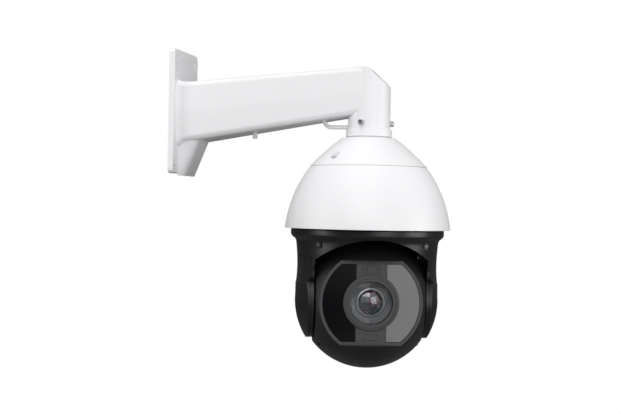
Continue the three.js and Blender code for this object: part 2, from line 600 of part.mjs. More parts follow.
function addHead(head) {
  const shell = headShell();
  put(head, 'head_front_shell', common(shell, box(-120, 120, -120, -GAP / 2, -120, 120)), BLACK, 0.4);
  put(head, 'head_rear_shell', common(shell, box(-120, 120, GAP / 2, 120, -120, 120)), BLACK, 0.4);
  put(head, 'front_frame', frontFrame(), FRAME_GREY, 0.45);
  for (const [name, side] of [['left', -1], ['right', 1]]) {
    put(head, `ir_window_${name}`, windowPatch(side, GAP, -FRONT_Y + 0.6, -FRONT_Y + 3.2), 0x08080a, 0.08);
    put(head, `ir_board_${name}`, irBoard(side), BOARD);
  }
  put(head, 'lens_window', lensWindow(), 0x50565c, 0.05);
  put(head, 'sensor_insert', sensorInsert(), BLACK);
  put(head, 'badge_plate', badgePlate(), FRAME_GREY);
  put(head, 'camera_cradle', cradle(), STEEL, 0.4, 1);
  put(head, 'camera_block', cameraBlock(), BLACK);
  put(head, 'lens_barrel', lensBarrel(), BLACK, 0.35);
  put(head, 'front_lens', frontLens(), 0x352a40, 0.05);
  put(head, 'sensor_board', sensorBoard(), BOARD);
  put(head, 'tilt_axle_left', toLeft(axleWithPulley()), STEEL, 0.3, 1);
  put(head, 'tilt_axle_right', toRight(axle(ARM_SPLIT + 2)), STEEL, 0.3, 1);
  put(head, 'zoom_group', lensGroup(OPTIC_BORE - GAP, 26, 40), 0x30343a, 0.1);
  put(head, 'focus_group', lensGroup(OPTIC_BORE - GAP, -2, 8), 0x30343a, 0.1);
  put(head, 'ir_cut_filter', irCutFilter(), 0x802030, 0.1);
}

const root = new THREE.Group();
addBracket(root);

const dome = new THREE.Group();
dome.position.x = PAN_X;
root.add(dome);
addDome(dome);

const turn = new THREE.Group();
turn.position.x = PAN_X;
turn.rotation.z = rad(REST_PAN);
root.add(turn);
addTurning(turn);

const head = new THREE.Group();
head.position.z = TILT_Z;
turn.add(head);
addHead(head);

export default root;
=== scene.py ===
# %% [markdown]
# A pan-tilt-zoom dome camera on a cast wall arm. White painted metal above, black moulded plastic
# below, and a flat grey front with a glass window in the middle of the ball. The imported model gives
# every place; this script makes the surfaces that are seen.

# %% Load the frame
import json
import math

import bmesh
import bpy
from mathutils import Matrix, Vector


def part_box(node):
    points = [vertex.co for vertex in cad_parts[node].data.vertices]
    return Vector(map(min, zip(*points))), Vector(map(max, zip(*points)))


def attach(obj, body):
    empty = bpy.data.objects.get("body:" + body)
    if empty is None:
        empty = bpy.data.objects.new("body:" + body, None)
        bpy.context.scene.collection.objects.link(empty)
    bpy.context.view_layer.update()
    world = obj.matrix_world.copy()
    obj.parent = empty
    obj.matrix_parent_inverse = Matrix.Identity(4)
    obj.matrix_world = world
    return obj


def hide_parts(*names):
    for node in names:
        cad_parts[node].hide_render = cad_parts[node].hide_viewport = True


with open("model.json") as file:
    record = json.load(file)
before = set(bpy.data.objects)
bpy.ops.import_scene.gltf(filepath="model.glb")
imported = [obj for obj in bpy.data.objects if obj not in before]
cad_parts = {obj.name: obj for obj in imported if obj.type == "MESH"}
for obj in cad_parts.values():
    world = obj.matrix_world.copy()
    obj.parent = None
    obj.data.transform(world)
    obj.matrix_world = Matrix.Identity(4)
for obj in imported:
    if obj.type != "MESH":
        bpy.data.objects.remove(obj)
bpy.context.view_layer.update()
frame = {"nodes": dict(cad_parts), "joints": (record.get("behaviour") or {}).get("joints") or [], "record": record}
MM = 0.001
PAN_X = (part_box("sun_shade")[0][0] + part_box("sun_shade")[1][0]) / 2
tilt = next(joint for joint in frame["joints"] if joint["name"] == "tilt")
TILT_AXIS = Vector(tilt["axis"])
TILT_Z = tilt["pos_m"][2]
RIM_Z = TILT_Z + 99.6 * MM
REST_PAN = math.atan2(TILT_AXIS.y, TILT_AXIS.x)
print("pan axis at", round(PAN_X, 4), "rim at", round(RIM_Z, 4), "tilt axis at", round(TILT_Z, 4))

# %% [markdown]
# Three places are used again and again: the wall's frame, the dome's frame under the pan axis, and
# the ball's frame, which is turned with the rest pan. A matrix for each keeps the numbers simple.

# %% Places
WALL = Matrix.Identity(4)
DOME = Matrix.Translation((PAN_X, 0, RIM_Z))
TURN = DOME @ Matrix.Rotation(REST_PAN, 4, "Z")
BALL = Matrix.Translation((PAN_X, 0, TILT_Z)) @ Matrix.Rotation(REST_PAN, 4, "Z")
FORWARD = Matrix.Rotation(math.radians(90), 4, "X")
print("rest pan", round(math.degrees(REST_PAN), 2))

# %% [markdown]
# The camera looks level, a little from the arm's side, with a long lens. A long lens keeps the
# plate's edge and the ball nearly square to the view.

# %% Camera
SENSOR = 36.0
LENS = 62.5
AZIMUTH = math.radians(14.0)
ROLL = math.radians(1.05)
camera_data = bpy.data.cameras.new("camera")
camera_data.lens = LENS
camera_data.sensor_width = SENSOR
camera_data.clip_start = 0.05
camera = bpy.data.objects.new("camera", camera_data)
bpy.context.scene.collection.objects.link(camera)
camera.matrix_world = (Matrix.Translation((PAN_X + 0.299, -1.543, -0.139))
                       @ Matrix.Rotation(AZIMUTH, 4, "Z") @ Matrix.Rotation(math.radians(90), 4, "X") @ Matrix.Rotation(ROLL, 4, "Z"))
bpy.context.scene.camera = camera
print("camera", camera.location[:])

# %% [markdown]
# Painted metal, moulded plastic and rubber differ mostly in grain. Each material has a fine bump in
# object space, a slight change of colour from place to place, and roughness that wanders a little.

# %% Material helper
def surface(name, colour, rough, metallic=0.0, grain=1400.0, bump=0.05, drift=0.06,
            stretch=(1, 1, 1), specular=0.5, ior=1.5):
    """A Principled material with procedural grain, colour drift and roughness drift."""
    material = bpy.data.materials.new(name)
    material.use_nodes = True
    nodes, links = material.node_tree.nodes, material.node_tree.links
    shader = nodes["Principled BSDF"]
    shader.inputs["Metallic"].default_value = metallic
    shader.inputs["Specular IOR Level"].default_value = specular
    shader.inputs["IOR"].default_value = ior
    place = nodes.new("ShaderNodeTexCoord")
    mapping = nodes.new("ShaderNodeMapping")
    mapping.inputs["Scale"].default_value = stretch
    links.new(place.outputs["Object"], mapping.inputs["Vector"])
    fine = nodes.new("ShaderNodeTexNoise")
    fine.inputs["Scale"].default_value = grain
    fine.inputs["Detail"].default_value = 3.0
    links.new(mapping.outputs["Vector"], fine.inputs["Vector"])
    broad = nodes.new("ShaderNodeTexNoise")
    broad.inputs["Scale"].default_value = 22.0
    broad.inputs["Detail"].default_value = 4.0
    links.new(mapping.outputs["Vector"], broad.inputs["Vector"])
    tint = nodes.new("ShaderNodeMixRGB")
    tint.inputs["Color1"].default_value = [c * (1 - drift) for c in colour] + [1]
    tint.inputs["Color2"].default_value = [min(c * (1 + drift), 1) for c in colour] + [1]
    links.new(broad.outputs["Fac"], tint.inputs["Fac"])
    links.new(tint.outputs["Color"], shader.inputs["Base Color"])
    spread = nodes.new("ShaderNodeMapRange")
    spread.inputs["To Min"].default_value = rough * 0.85
    spread.inputs["To Max"].default_value = min(rough * 1.15, 1)
    links.new(broad.outputs["Fac"], spread.inputs["Value"])
    links.new(spread.outputs["Result"], shader.inputs["Roughness"])
    relief = nodes.new("ShaderNodeBump")
    relief.inputs["Strength"].default_value = bump
    relief.inputs["Distance"].default_value = 0.0002
    links.new(fine.outputs["Fac"], relief.inputs["Height"])
    links.new(relief.outputs["Normal"], shader.inputs["Normal"])
    return material


# %% Finishes
WHITE = surface("white powder coat", (0.86, 0.86, 0.875), 0.42, grain=900, bump=0.12, drift=0.008)
BLACK = surface("black moulded plastic", (0.009, 0.009, 0.0095), 0.34, grain=1500, bump=0.22,
                drift=0.1, specular=0.42)
FRAME = surface("dark grey front frame", (0.052, 0.052, 0.055), 0.45, grain=1800, bump=0.2,
                drift=0.05, specular=0.35)
WINDOW = surface("black infrared window", (0.002, 0.002, 0.003), 0.07, grain=300, bump=0.0,
                 drift=0.1, ior=1.65)
STEEL = surface("stainless screw steel", (0.5, 0.5, 0.51), 0.3, metallic=1.0, grain=300,
                stretch=(1, 1, 12))
INNER = surface("machined inner metal", (0.45, 0.46, 0.47), 0.35, metallic=1.0, grain=500,
                stretch=(1, 1, 8))
BOARD = surface("circuit board lacquer", (0.02, 0.12, 0.05), 0.35, grain=700, bump=0.1, drift=0.2)
RUBBER = surface("black rubber", (0.012, 0.012, 0.012), 0.75, grain=1200, bump=0.3, drift=0.1)
SEAL = surface("pale silicone seal", (0.62, 0.62, 0.62), 0.6, grain=900, bump=0.1)
DARK_STEEL = surface("blackened screw steel", (0.09, 0.09, 0.095), 0.28, metallic=1.0, grain=500)
BARREL = surface("grey lens barrel", (0.075, 0.075, 0.078), 0.4, grain=1600, bump=0.1)
RING = surface("bright lens ring", (0.30, 0.31, 0.32), 0.25, metallic=0.6, grain=900, bump=0.05)
print(len(bpy.data.materials), "materials")

# %% [markdown]
# The window over the lens is clear. The front lens has patches of dark purple, green and amber
# painted into its colour as a painted reflection of its coatings' sheen. They come from a noise in object space,
# so they stay with the lens.

# %% Glass
def clear_glass():
    material = bpy.data.materials.new("clear window glass")
    material.use_nodes = True
    shader = material.node_tree.nodes["Principled BSDF"]
    shader.inputs["Base Color"].default_value = (0.93, 0.95, 0.96, 1)
    shader.inputs["Transmission Weight"].default_value = 1.0
    shader.inputs["Roughness"].default_value = 0.015
    shader.inputs["IOR"].default_value = 1.22
    return material


# Glass whose base colour carries painted reflection: noise patches stand in for the coloured sheen of the lens
# coatings.
def coating_reflection_glass(name, colours):
    material = bpy.data.materials.new(name)
    material.use_nodes = True
    nodes, links = material.node_tree.nodes, material.node_tree.links
    shader = nodes["Principled BSDF"]
    shader.inputs["Roughness"].default_value = 0.04
    shader.inputs["Coat Weight"].default_value = 1.0
    place = nodes.new("ShaderNodeTexCoord")
    noise = nodes.new("ShaderNodeTexNoise")
    noise.inputs["Scale"].default_value = 62.0
    links.new(place.outputs["Object"], noise.inputs["Vector"])
    ramp = nodes.new("ShaderNodeValToRGB")
    while len(ramp.color_ramp.elements) < len(colours):
        ramp.color_ramp.elements.new(0.5)
    for i, colour in enumerate(colours):
        ramp.color_ramp.elements[i].position = 0.36 + 0.28 * i / (len(colours) - 1)
        ramp.color_ramp.elements[i].color = (*colour, 1)
    links.new(noise.outputs["Fac"], ramp.inputs["Fac"])
    links.new(ramp.outputs["Color"], shader.inputs["Base Color"])
    return material


GLASS = clear_glass()
# The four dark tints are painted reflections of the coatings laid into the lens colour.
COATING_REFLECTION_GLASS = coating_reflection_glass("lens glass with painted coating reflections", [(0.006, 0.018, 0.012), (0.004, 0.004, 0.006),
                                            (0.05, 0.012, 0.036), (0.03, 0.014, 0.006)])

# %% [markdown]
# Every piece is made from a few mesh operators. A turned part spins a profile, a plate extrudes an
# outline, and a cut takes one solid from another. The bevel at the end gives edges a moulded radius.

# %% Mesh helpers
def new_piece(name, bm, place=WALL):
    bmesh.ops.transform(bm, matrix=place, verts=bm.verts)
    bmesh.ops.recalc_face_normals(bm, faces=bm.faces)
    mesh = bpy.data.meshes.new(name)
    bm.to_mesh(mesh)
    bm.free()
    piece = bpy.data.objects.new(name, mesh)
    bpy.context.scene.collection.objects.link(piece)
    return piece


def turned(name, profile, place=WALL, steps=144):
    """A closed outline of (radius, height) in mm, spun about Z."""
    bm = bmesh.new()
    verts = [bm.verts.new((r * MM, 0, z * MM)) for r, z in profile]
    edges = []
    for start, end in zip(verts, verts[1:] + verts[:1]):
        if start.co.x > 1e-7 or end.co.x > 1e-7:
            edges.append(bm.edges.new((start, end)))
    bmesh.ops.spin(bm, geom=verts + edges, cent=(0, 0, 0), axis=(0, 0, 1), angle=2 * math.pi, steps=steps,
                   use_merge=True)
    bmesh.ops.remove_doubles(bm, verts=bm.verts, dist=1e-6)
    bmesh.ops.dissolve_degenerate(bm, edges=bm.edges, dist=1e-7)
    return new_piece(name, bm, place)


def prism(name, outline, depth, place=WALL):
    """An outline of (x, y) in mm, extruded up Z by depth."""
    bm = bmesh.new()
    face = bm.faces.new([bm.verts.new((x * MM, y * MM, 0)) for x, y in outline])
    grown = bmesh.ops.extrude_face_region(bm, geom=[face])
    top = [v for v in grown["geom"] if isinstance(v, bmesh.types.BMVert)]
    bmesh.ops.translate(bm, verts=top, vec=(0, 0, depth * MM))
    return new_piece(name, bm, place)


def block(name, low, high, place=WALL):
    bm = bmesh.new()
    size = [(b - a) * MM for a, b in zip(low, high)]
    centre = [(a + b) * MM / 2 for a, b in zip(low, high)]
    bmesh.ops.create_cube(bm, size=1, matrix=Matrix.Translation(centre) @ Matrix.Diagonal((*size, 1)))
    return new_piece(name, bm, place)


def sphere(name, radius, place=WALL, across=144):
    bm = bmesh.new()
    bmesh.ops.create_uvsphere(bm, u_segments=across, v_segments=across // 2, radius=radius * MM,
                              matrix=Matrix.Rotation(math.radians(90), 4, "X"))
    return new_piece(name, bm, place)


def settle(piece):
    """Applies the piece's modifiers to its mesh."""
    graph = bpy.context.evaluated_depsgraph_get()
    mesh = bpy.data.meshes.new_from_object(piece.evaluated_get(graph))
    piece.modifiers.clear()
    piece.data = mesh
    return piece


def combine(piece, tools, operation):
    for tool in tools:
        boolean = piece.modifiers.new("boolean", "BOOLEAN")
        boolean.operation = operation
        boolean.solver = "MANIFOLD"
        boolean.object = tool
        settle(piece)
        bpy.data.objects.remove(tool)
    return piece


def cut(piece, *tools):
    return combine(piece, tools, "DIFFERENCE")


def join(piece, *tools):
    return combine(piece, tools, "UNION")


def keep(piece, *tools):
    return combine(piece, tools, "INTERSECT")


def finish(piece, material, body, nodes=(), bevel=0.6, segments=3, sharp=32):
    """Bevels the hard edges, smooths the rest and hands the piece to its body."""
    bm = bmesh.new()
    bm.from_mesh(piece.data)
    bmesh.ops.remove_doubles(bm, verts=bm.verts, dist=2e-6)
    bmesh.ops.dissolve_limit(bm, angle_limit=math.radians(0.4), verts=bm.verts, edges=bm.edges)
    bm.to_mesh(piece.data)
    bm.free()
    if bevel:
        edge = piece.modifiers.new("edge", "BEVEL")
        edge.width = bevel * MM
        edge.segments = segments
        edge.limit_method = "ANGLE"
        edge.angle_limit = math.radians(sharp)
        edge.use_clamp_overlap = True
        settle(piece)
    piece.data.shade_smooth()
    piece.data.set_sharp_from_angle(angle=math.radians(40))
    if bevel:
        weighted = piece.modifiers.new("weighted", "WEIGHTED_NORMAL")
        weighted.keep_sharp = True
        settle(piece)
    piece.data.materials.clear()
    piece.data.materials.append(material)
    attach(piece, body)
    if nodes:
        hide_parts(*nodes)
    print(piece.name, len(piece.data.vertices), "vertices")
    return piece


# %% Outlines
def arc(centre, radius, start, end, steps):
    """Points on an arc, in degrees, both ends included."""
    turns = [math.radians(start + (end - start) * i / steps) for i in range(steps + 1)]
    return [(centre[0] + radius * math.cos(a), centre[1] + radius * math.sin(a)) for a in turns]


def bend(start, control, end, steps):
    """Points on a curve from start to end that is pulled towards control."""
    points = []
    for i in range(steps + 1):
        t = i / steps
        points.append(tuple((1 - t) ** 2 * a + 2 * t * (1 - t) * b + t * t * c
                            for a, b, c in zip(start, control, end)))
    return points


def rounded(width, height, radius, steps=6):
    x, y = width / 2 - radius, height / 2 - radius
    return (arc((x, y), radius, 0, 90, steps) + arc((-x, y), radius, 90, 180, steps)
            + arc((-x, -y), radius, 180, 270, steps) + arc((x, -y), radius, 270, 360, steps))


def rod(name, radius, low, high, place=WALL, steps=48):
    return turned(name, [(0, low), (radius, low), (radius, high), (0, high)], place, steps)


ALONG_X = Matrix.Rotation(math.radians(90), 4, "Y")
PRISM_X = Matrix(((0, 0, 1, 0), (1, 0, 0, 0), (0, 1, 0, 0), (0, 0, 0, 1)))
PRISM_Y = Matrix(((1, 0, 0, 0), (0, 0, 1, 0), (0, 1, 0, 0), (0, 0, 0, 1)))
print("helpers ready")

# %% [markdown]
# The wall bracket is one casting: a plate with slots, a box arm that rises and narrows, a round
# column, and a chin under the arm where a cable can leave. The arm starts as a straight prism with
# many stations, and one pass then moves each station to its own width and height.

# %% Arm
PLATE_T = 8.3
PLATE_W = 100
COLUMN_R = 30.5
COLUMN_TOP = 63.7
COLUMN_BOTTOM = -25
LOCK_Z = COLUMN_BOTTOM + 9
PLUG_X = 119
PLUG_SEAT = -30.4
EYE_X = PAN_X / MM - 69
CHIN_HALF = 30
CHIN_BOTTOM = -95.5
CAST = 4
PLATE_H = 185
RIB_LOW = -5
RIB_HIGH = 9
WAY_HALF = 33
ROOT_HALF = 38
ROOT_LOW = -47
ROOT_HIGH = 43
TIP_LOW = -1.5
KEYHOLE_Y = 37
LOW_SLOT_Y = 43.5


def lerp(a, b, t):
    return a + (b - a) * t


def arm(name, inset, start, end, flare):
    """The arm between two places along X; the section is in half widths and half heights."""
    section = [(-1, 0.03), (-0.95, -0.86), (-0.8, -1), (0.8, -1), (0.95, -0.86), (1, 0.03),
               (1, 0.88), (0.9, 1), (-0.9, 1), (-1, 0.88)]
    bm = bmesh.new()
    face = bm.faces.new([bm.verts.new((start * MM, y, z)) for y, z in section])
    stations = [*(start + step for step in (2, 4.5, 8, 13, 20, 60, 110, 170)), end]
    last = start
    for station in stations:
        grown = bmesh.ops.extrude_face_region(bm, geom=[face])
        if last != start:
            bmesh.ops.delete(bm, geom=[face], context="FACES_ONLY")
        face = next(f for f in grown["geom"] if isinstance(f, bmesh.types.BMFace))
        bmesh.ops.translate(bm, verts=face.verts, vec=((station - last) * MM, 0, 0))
        last = station
    for vert in bm.verts:
        x = vert.co.x / MM
        t = (x - PLATE_T) / (PAN_X / MM - PLATE_T)
        spread = 1 + flare * max(0, 1 - (x - start) / 20) ** 2.6
        half = lerp(ROOT_HALF, COLUMN_R - 0.6, t) - inset
        low = lerp(ROOT_LOW, TIP_LOW, t) + inset
        high = lerp(ROOT_HIGH, COLUMN_TOP, t) - inset
        middle, tall = (low + high) / 2, (high - low) / 2
        drop = -0.2 * t * tall if abs(vert.co.z - 0.03) < 0.01 else 0
        vert.co.y = vert.co.y * half * spread * MM
        vert.co.z = (middle + vert.co.z * tall * spread + drop) * MM
    bmesh.ops.recalc_face_normals(bm, faces=bm.faces)
    edges = [e for e in bm.edges if abs((e.verts[0].co - e.verts[1].co).normalized().x) > 0.9 and inset == 0]
    if edges:
        bmesh.ops.bevel(bm, geom=edges, offset=2.6 * MM, affect="EDGES", segments=3, profile=0.5, material=-1)
    return new_piece(name, bm)


def chin(name, inset, bottom):
    """A leaning column with round outer corners, trimmed to the chin's side outline."""
    root = PLATE_T - 0.4 - inset * 3
    side = [(root, bottom), (17 - inset, bottom), (36 - inset, -50),
            *bend((36.4 - inset, -48.6), (38 - inset, -44), (46 - inset, -38 + inset), 6),
            (root, -38 + inset)]
    half = CHIN_HALF - inset
    place = Matrix(((1, 0, 0, 0), (0, 0, -1, half * MM), (0, 1, 0, 0), (0, 0, 0, 1)))
    body = prism(name, side, 2 * half, place)
    round_r = 13 - inset
    edge = 17 - inset - round_r
    plan = ([(-60, -half)] + arc((edge, -half + round_r), round_r, -90, 0, 10)
            + arc((edge, half - round_r), round_r, 0, 90, 10) + [(-60, half)])
    lean = Matrix(((1, 0, 19 / 45.5, 0), (0, 1, 0, 0), (0, 0, 1, 0), (0, 0, 0, 1)))
    column = prism("column", plan, 90, Matrix.Translation((0, 0, CHIN_BOTTOM * MM)) @ lean
                   @ Matrix.Translation((0, 0, -10 * MM)))
    return keep(body, column)


# %% Plate slots
def keyhole(name, y, top):
    outline = arc((y, top - 5), 4.6, -58, 238, 20) + arc((y, top - 22.6), 2.4, 180, 360, 8)
    return prism(name, outline, 12, Matrix.Translation((-2 * MM, 0, 0)) @ PRISM_X)


def slot_hole(name, y, z):
    outline = [(y + a, z + b) for a, b in rounded(6.4, 5, 2.4)]
    return prism(name, outline, 12, Matrix.Translation((-2 * MM, 0, 0)) @ PRISM_X)


# %% Bracket
def bracket():
    plate = prism("wall_casting", rounded(PLATE_W, PLATE_H, 7, 8), PLATE_T, PRISM_X)
    bm = bmesh.new()
    bm.from_mesh(plate.data)
    front = [e for e in bm.edges if all(v.co.x > (PLATE_T - 0.1) * MM for v in e.verts)]
    bmesh.ops.bevel(bm, geom=front, offset=2.2 * MM, affect="EDGES", segments=4, profile=0.5, material=-1)
    bm.to_mesh(plate.data)
    bm.free()
    centre = Matrix.Translation((PAN_X, 0, 0))
    column = rod("column", COLUMN_R, COLUMN_BOTTOM, COLUMN_TOP - 0.3, centre, 90)
    chin_body = chin("chin", 0, CHIN_BOTTOM)
    join(plate, arm("arm", 0, PLATE_T - 0.4, PAN_X / MM + 0.7, 0.10), column, chin_body)
    x = PAN_X / MM
    slope = [(x + 1, COLUMN_TOP), (x + 60, COLUMN_TOP - 55), (x + 60, 90), (x + 1, 90)]
    cut(plate, prism("slope", slope, 140, Matrix.Translation((0, -0.07, 0)) @ PRISM_Y))
    plug_place = Matrix.Translation((PLUG_X * MM, 0, 0))
    cut(plate, arm("arm_room", CAST, PLATE_T - 0.6, x - 12, 0),
        block("upper_way", (-1, -WAY_HALF, RIB_HIGH), (PLATE_T + 1, WAY_HALF, 37.5)),
        block("lower_way", (-1, -WAY_HALF, -41), (PLATE_T + 1, WAY_HALF, RIB_LOW)),
        chin("chin_room", CAST, CHIN_BOTTOM - 1),
        rod("column_bore", 22.4, COLUMN_BOTTOM - 1, 34, centre, 96),
        rod("plug_hole", 2.6, -60, -5, plug_place, 32))
    cut(plate, keyhole("key", -KEYHOLE_Y, 84.5), keyhole("key", KEYHOLE_Y, 84.5),
        slot_hole("slot", -LOW_SLOT_Y, -83), slot_hole("slot", LOW_SLOT_Y, -83))
    for angle in LOCK_ANGLES:
        place = (centre @ Matrix.Rotation(math.radians(angle), 4, "Z")
                 @ Matrix.Translation((0, 0, LOCK_Z * MM)) @ ALONG_X)
        cut(plate, rod("lock_hole", 2.6, 18, 40, place, 32))
    return finish(plate, WHITE, "fixed", ["wall_bracket"], bevel=0.9, segments=2, sharp=38)


LOCK_ANGLES = [-100, 20, 140]
casting = bracket()

# %% [markdown]
# The eye under the arm is a bent rod cast with the bracket. A safety rope goes through it. A curve
# with a round bevel gives the rod, which is then made a mesh.

# %% Safety eye
def safety_eye():
    path = bpy.data.curves.new("safety_eye", "CURVE")
    path.dimensions = "3D"
    path.bevel_depth = 3 * MM
    path.bevel_resolution = 6
    path.use_fill_caps = True
    spline = path.splines.new("NURBS")
    stops = [(EYE_X, -10), (EYE_X + 2, -14), (EYE_X + 5, -18.8), (EYE_X + 10, -21.4), (EYE_X + 16, -21.5),
             (EYE_X + 30, -21.5), (PAN_X / MM - 28, -21.5)]
    spline.points.add(len(stops) - 1)
    for point, (x, z) in zip(spline.points, stops):
        point.co = (x * MM, 0, z * MM, 1)
    spline.use_endpoint_u = True
    spline.order_u = 3
    holder = bpy.data.objects.new("eye_path", path)
    bpy.context.scene.collection.objects.link(holder)
    graph = bpy.context.evaluated_depsgraph_get()
    mesh = bpy.data.meshes.new_from_object(holder.evaluated_get(graph))
    bpy.data.objects.remove(holder)
    piece = bpy.data.objects.new("safety_eye", mesh)
    bpy.context.scene.collection.objects.link(piece)
    return finish(piece, WHITE, "fixed", bevel=0)


safety_eye()

# %% [markdown]
# The screws are socket caps: a turned head and shank with a hexagon sunk into the head.

# %% Screws
def cap_screw(name, head, height, shank, length, place, body, node, material=None):
    profile = [(0, -length), (shank, -length), (shank, 0), (head - 0.3, 0), (head, 0.3), (head, height - 0.8),
               (head - 0.25, height - 0.25), (head - 0.8, height), (0, height)]
    piece = turned(name, profile, place, 48)
    cut(piece, rod("socket", head * 0.52, height * 0.35, height + 1, place, 6))
    return finish(piece, material or STEEL, body, [node] if node else (), bevel=0.12, segments=2)


for number, angle in enumerate(LOCK_ANGLES, 1):
    seat = (Matrix.Translation((PAN_X, 0, LOCK_Z * MM)) @ Matrix.Rotation(math.radians(angle), 4, "Z")
            @ Matrix.Translation(((COLUMN_R + 0.3) * MM, 0, 0)) @ ALONG_X)
    cap_screw(f"lock_bolt_{number}", 4, 5.4, 2.3, 7.5, seat, "fixed", f"lock_screw_{number}")
under = Matrix.Translation((PLUG_X * MM, 0, PLUG_SEAT * MM)) @ Matrix.Rotation(math.pi, 4, "Y")
cap_screw("arm_drain_plug", 3.7, 8, 2.2, 6, under, "fixed", "arm_plug_screw", WHITE)

# %% [markdown]
# The white dome is two turned shells. The upper cone has three sunk pockets for its screws, and the
# sun shade below it curves down to a thin rim. A fine dark line shows where they meet.

# %% Neck
collar = turned("neck_collar", [(15, 174), (15, 94), (34, 94), (34, 97), (24, 97), (24, 135.7),
                                (32.6, 135.7), (33.5, 136.6), (33.5, 145.8), (32.6, 146.7),
                                (21, 146.7), (21, 174)], DOME, 128)
finish(collar, WHITE, "fixed", ["neck_adapter"], bevel=0.3)
gasket = turned("collar_gasket", [(24.4, 134.3), (32.8, 134.3), (33, 134.8), (32.8, 135.4),
                                  (24.4, 135.4)], DOME, 128)
finish(gasket, SEAL, "fixed", ["neck_gasket"], bevel=0.2)

# %% Cover
COVER_ANGLES = [-120, 0, 120]
COVER_BOLT_R = 71
SEAM = 92.4


def cover():
    slope = bend((84.5, SEAM + 1), (62, 117.4), (40.2, 133.2), 18)
    outside = [(84.7, SEAM + 0.2), *slope, (38.5, 134), (24.6, 134)]
    inside = bend((38, 131.4), (60.5, 115), (81, SEAM + 0.2), 14)
    shell = turned("cover_cone", [*outside, (24.6, 131.4), *inside], DOME, 160)
    for angle in COVER_ANGLES:
        spot = (DOME @ Matrix.Rotation(math.radians(angle), 4, "Z")
                @ Matrix.Translation((COVER_BOLT_R * MM, 0, 0)))
        cup = rod("cup", 8.2, 98.5, 122, spot, 48)
        under = [(r - 0.8, z - 0.8) for r, z in slope]
        trim = turned("trim", [(0, 90), (83.7, 90), *under, (0, under[-1][1])], DOME, 160)
        keep(cup, trim)
        join(shell, cup)
        cut(shell, rod("pocket", 6, 101.5, 140, spot, 48), rod("thread", 1.9, 94, 106, spot, 24))
        cap_screw(f"cover_bolt_{COVER_ANGLES.index(angle) + 1}", 3.4, 2.8, 1.6, 7,
                  spot @ Matrix.Translation((0, 0, 101.8 * MM)), "fixed",
                  f"cover_screw_{COVER_ANGLES.index(angle) + 1}")
    return finish(shell, WHITE, "fixed", ["top_cover"], bevel=0.5, sharp=34)


cover()

# %% Sun shade
def shade():
    wall = bend((119.9, 4.2), (113.6, 54), (84.9, SEAM - 0.7), 34)
    back = bend((81.4, SEAM - 0.2), (110.6, 52.6), (117.1, 4.2), 30)
    outline = [(117.3, 3.2), (117.8, 2.8), (119.4, 2.8), (120, 3.2), *wall, (84.5, SEAM - 0.2), *back]
    shell = turned("sun_shade_shell", outline, DOME, 200)
    return finish(shell, WHITE, "fixed", ["sun_shade"], bevel=0)


shade()

# %% [markdown]
# Below the rim everything turns. The yoke is a solid of revolution, trimmed to two arms from the
# side, with an arch cut through it and a round hollow for the ball.

# %% Yoke
BALL_R = 98.8
DROP = -99.6
ARM_INNER = 79.4
ARM_SPLIT = 84.0
YOKE_EDGE = [(108, 2.7), (111, 1), (111, -5.4), (110.2, -7.2), (108.2, -9.6), (105, -12), (103.6, -14.4)]


def yoke_body(name, inset, rows=2):
    waist = bend((103, -17), (99.2, -50), (102.4, -74), 16)
    low = [(103.3 - 0.25 * (1 - i / 5), -76 - 4 * i) for i in range(5)]
    outline = [(r - inset, z) for r, z in YOKE_EDGE + waist + low]
    outline += [(r - inset * math.cos(math.radians(a)), z) for a, (r, z) in
                zip([-33 * i / 12 for i in range(13)], arc((0, DROP), 103.6, 0, -33, 12))]
    bottom = outline[-1][1]
    body = turned(name, [*outline, (0, bottom), (0, 2.7)], TURN, 160)
    i = inset
    front = [(112, 3), (112, -14), (100 - i, -22), *bend((79 - i, -36), (60 - i, -42), (57 - i, -56), 8),
             *bend((56.6 - i, -62), (56 - i, -69), (46 - i, -71), 6), (40 - i, -80)]
    neck = front + [(-y, z) for y, z in reversed(front)]
    side = prism("side", neck, 240, TURN @ Matrix.Translation((-0.12, 0, 0)) @ PRISM_X)
    disc = rod("disc", 55.4 - i, -120, 120, TURN @ Matrix.Translation((0, 0, DROP * MM)) @ ALONG_X, 128)
    join(side, disc)
    return keep(body, side)


def yoke():
    body = yoke_body("yoke_casting", 0)
    centre = TURN @ Matrix.Translation((0, 0, DROP * MM))
    hollow = sphere("hollow", BALL_R + 2.4, centre)
    join(hollow, rod("arch", 124, -130, 130, TURN @ Matrix.Translation((0, 0, -0.135)) @ FORWARD, 200))
    keep(hollow, block("room", (-ARM_INNER, -128, -170), (ARM_INNER, 128, 170), centre))
    cut(body, hollow, rod("axle_hole", 16, -110, 110, centre @ ALONG_X, 64))
    for side in (-1, 1):
        low, high = sorted((side * ARM_SPLIT, side * 125))
        cut(body, block("cover_room", (low, -90, -170), (high, 90, -36), TURN))
        corner = TURN @ Matrix.Translation((side * 75.5 * MM, 0, -19.5 * MM)) @ FORWARD
        cut(body, rod("screw_well", 5.2, 66, 90, corner, 48))
        cap_screw(f"corner_screw_{'right' if side > 0 else 'left'}", 3.3, 2.4, 1.6, 6,
                  corner @ Matrix.Translation((0, 0, 66.2 * MM)), "turn", None, DARK_STEEL)
    return finish(body, BLACK, "turn", ["yoke_frame"], bevel=0.9, sharp=36)


yoke()

# %% [markdown]
# Each arm is closed by a moulded cover that carries the arm's outer shape. Three small screws hold
# it. It is the yoke's own outline again, hollowed and cut off at the joint face.

